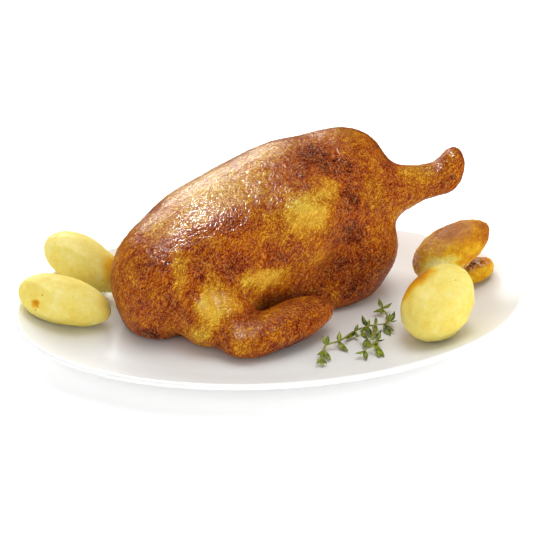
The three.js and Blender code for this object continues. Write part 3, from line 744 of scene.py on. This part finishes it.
# Where frying browned each potato, by patches as on the bird, and where bits of crumb cling to
# it, which also stand for painted glints on the rims. Some patches, marked, are painted shade,
# light or reflection instead.
FRIED = {
    "right back, top": Patch((116, 18, 46), (26, 14, 8), 0.62, 0.9, turn=-12),
    "right back, end": Patch((132, 14, 46), (8, 14, 12), 0.66),
    # Painted light: this face, in shade, is left paler than the browning round it.
    "right back, face": Patch((103, 5, 27), (17, 10, 11), 0.06, 0.9),
    "right back, low": Patch((122, 6, 31), (13, 8, 5), 0.45, turn=-12),
    "right back, left edge": Patch((91, 22, 30), (5, 14, 14), 0.45),
    "right under, top": Patch((126, 16, 26), (14, 9, 5), 0.74, 0.9, turn=20),
    "right under, side": Patch((130, 8, 17), (16, 8, 6), 0.36, 0.9, turn=20),
}
BOILED = {
    # Painted shade over some browning, on this potato's top and its left edge.
    "right front, back": Patch((82, -31, 39), (16, 13, 11), 0.56, 1),
    "right front, left": Patch((72, -40, 26), (6, 16, 16), 0.5, 0.85, turn=20),
    # Painted shade of a dent that the shape doesn't have.
    "right front, dent": Patch((95, -52, 20), (3, 3, 3), 0.4, 0.6),
    # Painted reflection: warm light bounced from the bird, painted onto this end as browning.
    "left back, right end": Patch((-86, 33, 28), (12, 12, 14), 0.46, 0.9),
    "left front, spot": Patch((-138, -1, 28), (2.4, 2.4, 2.4), 0.6, 0.7),
}
# Pale bits of crumb, which also stand for painted glints on the rims.
CRUMBS_AND_GLINTS = {
    "right back, left rim": Patch((90, 20, 29), (4, 15, 15), 1, 0.9),
    "right under, top": Patch((124, 14, 26), (13, 10, 5), 1, 0.9, turn=20),
    "right front, back rim": Patch((80, -24, 40), (12, 8, 8), 1, 0.4),
}


def potato_flesh(name, start, swing, patches, crust):
    """Boiled potato: waxy yellow that lets light in a little, with a faint wet sheen, specks
    where eyes were cut, brown where it was fried, and pale bits of crumb on its rims that also
    stand for painted glints there. Some of its patches are painted shade, light or reflection.
    Its mealy grain is drawn several times too coarse, at 1.6 mm, because the real one doesn't
    show."""
    material, tree, shader, in_mm = new_material(name)
    ragged = warped(tree, in_mm, 7, 7)
    brown = swung(tree, start, add(tree, "ShaderNodeTexNoise", {
        "Vector": in_mm, "Scale": 1 / 16}), 0.16)
    brown = patched(tree, ragged, brown, patches)
    brown = swung(tree, brown, add(tree, "ShaderNodeTexNoise", {
        "Vector": in_mm, "Scale": 1 / 4, "Detail": 4.0, "Roughness": 0.65}), swing)
    brown = swung(tree, brown, add(tree, "ShaderNodeTexNoise", {
        "Vector": in_mm, "Scale": 1 / 1.2}), swing * 0.8)
    spots = add(tree, "ShaderNodeTexVoronoi", {"Vector": in_mm, "Scale": 1 / 5.5})
    rare = add(tree, "ShaderNodeMath", {
        0: spots.outputs["Color"], 1: 0.72}, operation="GREATER_THAN")
    speck = add(tree, "ShaderNodeMapRange", {
        "Value": spots.outputs["Distance"], "From Min": 0.12, "From Max": 0.05, "To Max": 0.35})
    brown = add(tree, "ShaderNodeMath", {
        0: speck, 1: rare, 2: brown}, operation="MULTIPLY_ADD")
    colour = add(tree, "ShaderNodeValToRGB", {0: brown}, stops=[
        (0.0, "f1e9b8"), (0.14, "e8d66c"), (0.3, "dfae14"), (0.46, "cb8505"),
        (0.64, "a95f07"), (0.82, "783a09"), (1.0, "47210c")])
    flakes = clouded(tree, in_mm, 1.5, (0.5, 0.56), Detail=4.0, Roughness=0.7)
    # Pale bits of crumb, which also stand for painted glints on the rims.
    crumbs_and_glints = add(tree, "ShaderNodeMath", {
        0: flakes, 1: patched(tree, ragged, 0.0, CRUMBS_AND_GLINTS)}, operation="MULTIPLY")
    colour = add(tree, "ShaderNodeMix", {
        0: crumbs_and_glints, 6: colour, 7: linear("f1dfc2")}, data_type="RGBA").outputs[2]
    rough = add(tree, "ShaderNodeTexNoise", {"Vector": in_mm, "Scale": 1 / 1.6, "Detail": 4.0})
    fill(shader, {
        "Base Color": colour, "Specular IOR Level": 0.2,
        "Roughness": clouded(tree, in_mm, 6, (0.35, 0.65), (0.4, 0.6)),
        "Subsurface Weight": 0.3, "Subsurface Radius": (4.0, 2.6, 0.9), "Subsurface Scale": MM,
        "Normal": add(tree, "ShaderNodeBump", {"Height": rough, "Distance": crust * MM})})
    return material


ball, ball_faces = ball_mesh(6)
flesh = {
    "boiled_potato": potato_flesh("boiled potato", 0.14, 0.13, BOILED, 0.2),
    "browned_potato": potato_flesh("fried potato", 0.36, 0.45, FRIED, 0.9),
}
laid = []
for seed, name in enumerate(POTATOES):
    fried = name in TURNED_IN_FAT
    slot = "browned_potato" if fried else "boiled_potato"
    bare_potato = mesh_object("bare_potato", potato_corners(ball, name, laid), ball_faces)
    potato = grown("peeled_potato_" + name, bare_potato, relief, {
        "Wrinkle Spacing": 4 * MM, "Wrinkle Depth": (0.5 if fried else 0.08) * MM,
        "Dimple Spacing": 11 * MM, "Dimple Depth": (1.0 if fried else 0.5) * MM,
        "Set In": (0.6 if fried else 0.2) * MM, "Seed": 10.0 + seed, "Surface": flesh[slot]})
    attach(potato, "root")
    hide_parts("potato_" + name)

# Thyme
# A fresh sprig laid on the platter: thin woody stems that fork, with pointed leaves at their
# nodes. It is rolled, so its far leaves rise and its near ones hang down to the platter.
BRANCHES = {
    "main": [
        ((17.5, -63), [(-130, 5.5), (-90, 6), (-60, 5.5)]),
        ((20.5, -55), [(-145, 5.5), (-115, 6.5), (-70, 8.5)]),
        ((23.3, -49.5), [(105, 6), (70, 6)]),
        ((31, -46.5), [(75, 6.5), (-60, 8.5)]),
        ((42.3, -36.3), [(50, 5), (-145, 8.5), (-75, 5)]),
        ((50.8, -32), [(110, 7.5), (-145, 6.5), (55, 4.5), (-85, 8)]),
        ((56, -31), [(80, 4.5), (-110, 7)]),
        ((61, -30.5), [(-50, 8), (-75, 9)]),
        ((65, -28), [(50, 7), (80, 5), (-20, 4)])],
    "upper": [
        ((62.5, -30), []),
        ((65, -20.5), [(-95, 5), (-65, 4.5)]),
        ((64, -11.5), [(100, 6.5), (20, 7), (-155, 6.5), (-105, 5)])],
    "lower": [
        ((54, -31.5), []),
        ((52.8, -44.5), [(35, 5.5), (-150, 5)]),
        ((52.5, -49), [(50, 5.5), (-20, 4.5), (-110, 6)]),
        ((51.5, -56), [(-95, 7.5), (-70, 8), (-130, 4)])],
    "left": [
        ((52.8, -41), []),
        ((47.5, -46), [(125, 6.5), (-120, 7), (-80, 6), (170, 4.5)])],
    "side": [
        ((52.5, -50.5), []),
        ((47.5, -55), [(-30, 4.5), (150, 4.5)]),
        ((43.5, -59.5), [(-160, 6.5), (-95, 6.5)])],
}
STEM_RADIUS = 0.65
STEM_HEIGHT = 4.1
STEM_LEVEL = FLOOR_HEIGHT + STEM_HEIGHT
STEM_TAPER = 0.55
LEAF_WIDTH_SHARE = 0.44
LEAF_STALK_SHARE = 0.16
LEAF_TIP_SHARE = 0.03
LEAF_FULLNESS = 0.85
LEAF_CURL = 0.14
LEAF_THICKNESS = 0.07
RIM_ROLL = 0.35
MIDRIB = dict(width=0.3, depth=0.6)
SPRIG_ROLL = 30
YOUNG_LENGTH = 5
YOUNG_RISE = 18
LEAF_SWAY = 10
THYME_SEED = 11


def leaf_mesh():
    """A closed pointed leaf along +X, 1 mm long, with its rims rolled down and its midrib sunk.
    The value "across" goes from 0 on the midrib to 1 on the rims."""
    stations, sides = 9, 12
    corners, across = [], []
    for share in np.linspace(0, 1, stations):
        blade = math.sin(math.pi * share ** LEAF_FULLNESS) if share < 1 else 0
        blade = LEAF_STALK_SHARE * (1 - share ** 4) + (1 - LEAF_STALK_SHARE) * blade
        width = LEAF_WIDTH_SHARE / 2 * max(blade, LEAF_TIP_SHARE)
        for angle in np.arange(sides) * 2 * math.pi / sides:
            out = math.cos(angle)
            lift = LEAF_CURL * share ** 2 - RIM_ROLL * width * out ** 2
            sunk = MIDRIB["depth"] * math.exp(-(out / MIDRIB["width"]) ** 2)
            lift += LEAF_THICKNESS / 2 * math.sin(angle) * (1 - sunk)
            corners.append((share, width * out, lift))
            across.append(abs(out))
    faces = []
    for station in range(stations - 1):
        for side in range(sides):
            a, b = station * sides + side, station * sides + (side + 1) % sides
            faces.append((a, a + sides, b + sides, b))
    faces += [tuple(range(sides)), tuple(range(len(corners) - sides, len(corners)))[::-1]]
    return mesh_object("leaf", corners, faces, across=across)


def buds_mesh():
    """One point for every leaf, with its heading, its climb and its length in millimetres."""
    state = THYME_SEED
    buds = []
    for nodes in BRANCHES.values():
        for (x, y), leaves in nodes:
            for heading, length in leaves:
                state = (state * 1664525 + 1013904223) % 2 ** 32
                heading = math.radians(heading)
                climb = SPRIG_ROLL * math.sin(heading)
                climb += (YOUNG_RISE if length < YOUNG_LENGTH else 0)
                climb += LEAF_SWAY * (state / 2 ** 32 - 0.5)
                buds.append((x, y, STEM_LEVEL, heading, math.radians(climb), length))
    *places, heading, climb, length = np.array(buds).T
    places = np.transpose(places)
    return mesh_object("buds", places, [], heading=heading, climb=climb, length=length)


def sprig_tree():
    """Thickens each branch to a stem that thins towards its tip, and sets a leaf on every bud
    along its heading. Each leaf gets its own shade of green."""
    tree, given, result = new_tree("sprig", {
        "Buds": "Object", "Leaf": "Object", "Stem Radius": "Float", "Stem Taper": "Float",
        "Seed": "Int", "Stem Bark": "Material", "Leaf Green": "Material"})
    along = add(tree, "GeometryNodeSplineParameter").outputs["Factor"]
    thick = add(tree, "ShaderNodeMapRange", {
        "Value": along, "To Min": 1.0, "To Max": given["Stem Taper"]})
    ring = add(tree, "GeometryNodeCurvePrimitiveCircle", {
        "Resolution": 8, "Radius": given["Stem Radius"]})
    stems = add(tree, "GeometryNodeCurveToMesh", {
        "Curve": given["Geometry"], "Profile Curve": ring, "Scale": thick, "Fill Caps": True})
    stems = add(tree, "GeometryNodeSetMaterial", {
        "Geometry": stems, "Material": given["Stem Bark"]})
    buds = add(tree, "GeometryNodeObjectInfo", {"Object": given["Buds"]}).outputs["Geometry"]
    leaf = add(tree, "GeometryNodeObjectInfo", {"Object": given["Leaf"]}).outputs["Geometry"]
    heading, climb, length = (
        add(tree, "GeometryNodeInputNamedAttribute", {"Name": label}, data_type="FLOAT")
        for label in ("heading", "climb", "length"))
    dip = add(tree, "ShaderNodeMath", {0: climb, 1: -1.0}, operation="MULTIPLY")
    pose = add(tree, "ShaderNodeCombineXYZ", {"Y": dip, "Z": heading})
    leaves = add(tree, "GeometryNodeInstanceOnPoints", {
        "Points": buds, "Instance": leaf, "Rotation": pose, "Scale": length})
    shade = add(tree, "FunctionNodeRandomValue", {"Seed": given["Seed"]}, data_type="FLOAT")
    leaves = add(tree, "GeometryNodeStoreNamedAttribute", {
        "Geometry": leaves, "Name": "shade", "Value": shade.outputs[1]},
        data_type="FLOAT", domain="INSTANCE")
    leaves = add(tree, "GeometryNodeSetMaterial", {
        "Geometry": leaves, "Material": given["Leaf Green"]})
    join = add(tree, "GeometryNodeJoinGeometry")
    for part in (stems, leaves):
        tree.links.new(part.outputs[0], join.inputs[0])
    real = add(tree, "GeometryNodeRealizeInstances", {"Geometry": join})
    smooth = add(tree, "GeometryNodeSetShadeSmooth", {"Geometry": real})
    fill(result, {0: smooth})
    return tree


def plant_green(name, dark, light, roughness):
    """A waxy leaf or young stem: matt green, each leaf its own shade and paler along its
    midrib and rims, a little see-through. Real veins are too fine to show, so theirs are
    0.9 mm apart."""
    material, tree, shader, in_mm = new_material(name)
    shade = add(tree, "ShaderNodeAttribute", attribute_name="shade").outputs["Fac"]
    across = add(tree, "ShaderNodeAttribute", attribute_name="across").outputs["Fac"]
    cloud = clouded(tree, in_mm, 2.4, (0.3, 0.7), (-0.3, 0.5), Detail=3.0)
    rib = add(tree, "ShaderNodeMapRange", {
        "Value": across, "From Min": 0.3, "From Max": 0.0, "To Max": 0.3})
    rim = add(tree, "ShaderNodeMapRange", {"Value": across, "From Min": 0.8, "To Max": 0.25})
    tone = add(tree, "ShaderNodeMath", {0: shade, 1: 0.45, 2: cloud}, operation="MULTIPLY_ADD")
    for lighter in (rib, rim):
        tone = add(tree, "ShaderNodeMath", {0: tone, 1: lighter}, operation="ADD")
    veins = add(tree, "ShaderNodeTexNoise", {"Vector": in_mm, "Scale": 1 / 0.9})
    fill(shader, {
        "Base Color": add(tree, "ShaderNodeValToRGB", {0: tone}, stops=[(0, dark), (1, light)]),
        "Roughness": roughness, "Specular IOR Level": 0.15,
        "Subsurface Weight": 0.1, "Subsurface Radius": (0.6, 1.0, 0.3), "Subsurface Scale": MM,
        "Normal": add(tree, "ShaderNodeBump", {"Height": veins, "Distance": 0.12 * MM})})
    return material


twigs = bpy.data.curves.new("twigs", "CURVE")
twigs.dimensions = "3D"
twigs.resolution_u = 6
for nodes in BRANCHES.values():
    twig = twigs.splines.new("BEZIER")
    twig.bezier_points.add(len(nodes) - 1)
    for knot, ((x, y), leaves) in zip(twig.bezier_points, nodes):
        knot.co = Vector((x, y, STEM_LEVEL)) * MM
        knot.handle_left_type = knot.handle_right_type = "AUTO"
leaf, buds = leaf_mesh(), buds_mesh()
sprig = grown("thyme_sprig_leaves", placed("twigs", twigs), sprig_tree(), {
    "Buds": buds, "Leaf": leaf, "Stem Radius": STEM_RADIUS * MM, "Stem Taper": STEM_TAPER,
    "Seed": 5, "Stem Bark": plant_green("thyme stem", "6c701a", "b0b048", 0.6),
    "Leaf Green": plant_green("thyme leaf", "2b3b03", "abb92f", 0.55)})
for helper in (leaf, buds):
    bpy.data.objects.remove(helper)
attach(sprig, "root")
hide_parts("thyme_sprig")

# Studio
# A white sweep with light coming through it, less of it round the platter, so that the rim
# stands out over a soft shadow. Lights on all sides fill the shadows and show in no gloss. Two
# show in gloss alone: a small one overhead, and a low one behind for the glare on the back.
SWEEP_HALF = 2500
SWEEP_BACK = 2000
SWEEP_RADIUS = 500
SWEEP_TOP = 1600
GLOW_REACH = (150, 700)
GLOW = (0.2, 0.62)
SUBJECT = Vector((0, 0, 0.04))


def white_sweep():
    """Plain matt board with light coming through it: it shows nothing but a faint shadow."""
    material, tree, shader, in_mm = new_material("white board")
    away = add(tree, "ShaderNodeVectorMath", {0: in_mm}, operation="LENGTH").outputs["Value"]
    glow = add(tree, "ShaderNodeMapRange", {
        "Value": away, "From Min": GLOW_REACH[0], "From Max": GLOW_REACH[1],
        "To Min": GLOW[0], "To Max": GLOW[1]})
    cloud = add(tree, "ShaderNodeTexNoise", {"Vector": in_mm, "Scale": 1 / 400})
    tone = add(tree, "ShaderNodeValToRGB", {0: cloud}, stops=[(0, "fafafa"), (1, "ffffff")])
    fill(shader, {
        "Base Color": tone, "Roughness": 0.9, "Specular IOR Level": 0.1,
        "Emission Color": linear("ffffff"), "Emission Strength": glow})
    return material


bend = [(SWEEP_BACK - SWEEP_RADIUS * (1 - math.sin(turn)), SWEEP_RADIUS * (1 - math.cos(turn)))
        for turn in np.linspace(0, math.pi / 2, 13)]
profile = [(-SWEEP_HALF, 0), *bend, (SWEEP_BACK, SWEEP_TOP)]
corners = [(x, y, z) for y, z in profile for x in (-SWEEP_HALF, SWEEP_HALF)]
strips = [(2 * i, 2 * i + 1, 2 * i + 3, 2 * i + 2) for i in range(len(profile) - 1)]
sweep = mesh_object("sweep", corners, strips)
sweep.data.materials.append(white_sweep())
sweep.data.polygons.foreach_set("use_smooth", [True] * len(strips))
sweep.visible_glossy = False


def softbox(name, way, distance, size, watts, glossy=False):
    """A rectangular soft light that looks at the platter from the given direction. It shows
    either in gloss or on matt surfaces."""
    lamp = bpy.data.lights.new(name, "AREA")
    lamp.shape = "RECTANGLE"
    lamp.size, lamp.size_y = size
    lamp.energy = watts
    light = placed(name, lamp)
    way = Vector(way).normalized()
    light.location = SUBJECT + way * distance
    light.rotation_euler = way.to_track_quat("Z", "Y").to_euler()
    light.visible_diffuse = not glossy
    light.visible_glossy = glossy


softbox("sparkle", (-0.31, 0.01, 0.95), 1.2, (0.26, 0.2), 30, glossy=True)
softbox("shine", (-0.24, 0.86, 0.44), 1.4, (0.8, 0.5), 12, glossy=True)
softbox("top", (0.15, 0.1, 0.98), 1.2, (0.8, 0.8), 6)
softbox("back", (-0.1, 0.8, 0.6), 1.5, (1.2, 1.2), 12)
softbox("front", (0.3, -0.92, 0.15), 1.6, (1.4, 0.6), 5.5)
softbox("low right", (0.7, -0.7, 0.02), 1.5, (0.8, 0.3), 6)
softbox("right", (0.93, -0.05, 0.3), 1.5, (1.0, 0.8), 4.2)
softbox("left", (-0.93, -0.2, 0.1), 1.5, (1.0, 0.8), 7.4)
world = bpy.data.worlds.new("white room")
world.use_nodes = True
fill(world.node_tree.nodes["Background"], {"Color": linear("ffffff"), "Strength": 0.42})
world.cycles_visibility.glossy = False
bpy.context.scene.world = world
bpy.context.scene.view_settings.view_transform = "Standard"

# Camera
# A long lens a good metre away, a little to the left of straight ahead and 27 degrees above
# the table, which sees the platter as the photograph does.
AZIMUTH, ELEVATION = math.radians(-9.48), math.radians(27)
DISTANCE = 1.1
FOCAL_LENGTH = 121.18
SENSOR_WIDTH = 36
TARGET = Vector((4.782, 34.722, 20)) * MM
lens = bpy.data.cameras.new("camera")
lens.sensor_width = SENSOR_WIDTH
lens.lens = FOCAL_LENGTH
camera = placed("camera", lens)
back = Vector((math.sin(AZIMUTH) * math.cos(ELEVATION),
               -math.cos(AZIMUTH) * math.cos(ELEVATION), math.sin(ELEVATION)))
camera.location = TARGET + back * DISTANCE
camera.rotation_euler = back.to_track_quat("Z", "Y").to_euler()
bpy.context.scene.camera = camera
